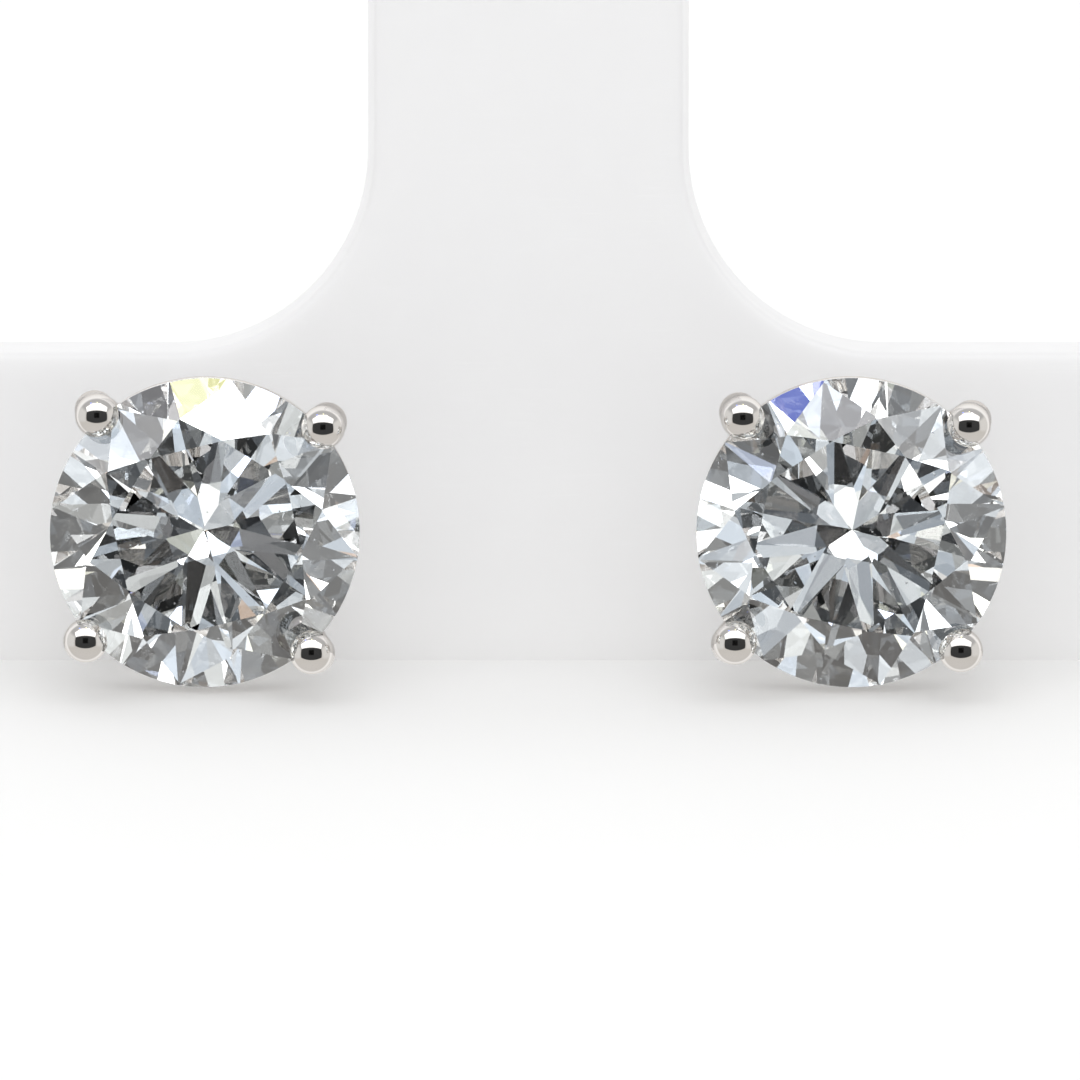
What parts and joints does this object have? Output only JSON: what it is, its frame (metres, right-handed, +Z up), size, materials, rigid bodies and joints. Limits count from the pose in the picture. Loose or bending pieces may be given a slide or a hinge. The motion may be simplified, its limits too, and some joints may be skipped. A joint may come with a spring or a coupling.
{
  "type": "pair of stud earrings on a display stand",
  "caption": "Pair of prong-set round stud earrings with posts and push-on backs, held on a plain T-shaped display stand that leans back on a rear strut.",
  "frame": {"origin": "centre of the bounding box at the floor, on the flat base that the stand rests on", "axes": "+Z up, -Y the way the stones face, +X to the viewer's right along the stand's bar"},
  "size_m": [0.03, 0.0198, 0.0295],
  "materials": {
    "stand_white": "satin moulded white acrylic",
    "white_gold": "polished white gold",
    "clear_stone": "clear polished facets"
  },
  "bodies": {
    "root": {"stand": "stand_white", "left_setting": "white_gold", "left_stone": "clear_stone", "left_back": "white_gold", "right_setting": "white_gold", "right_stone": "clear_stone", "right_back": "white_gold"}
  },
  "joints": []
}
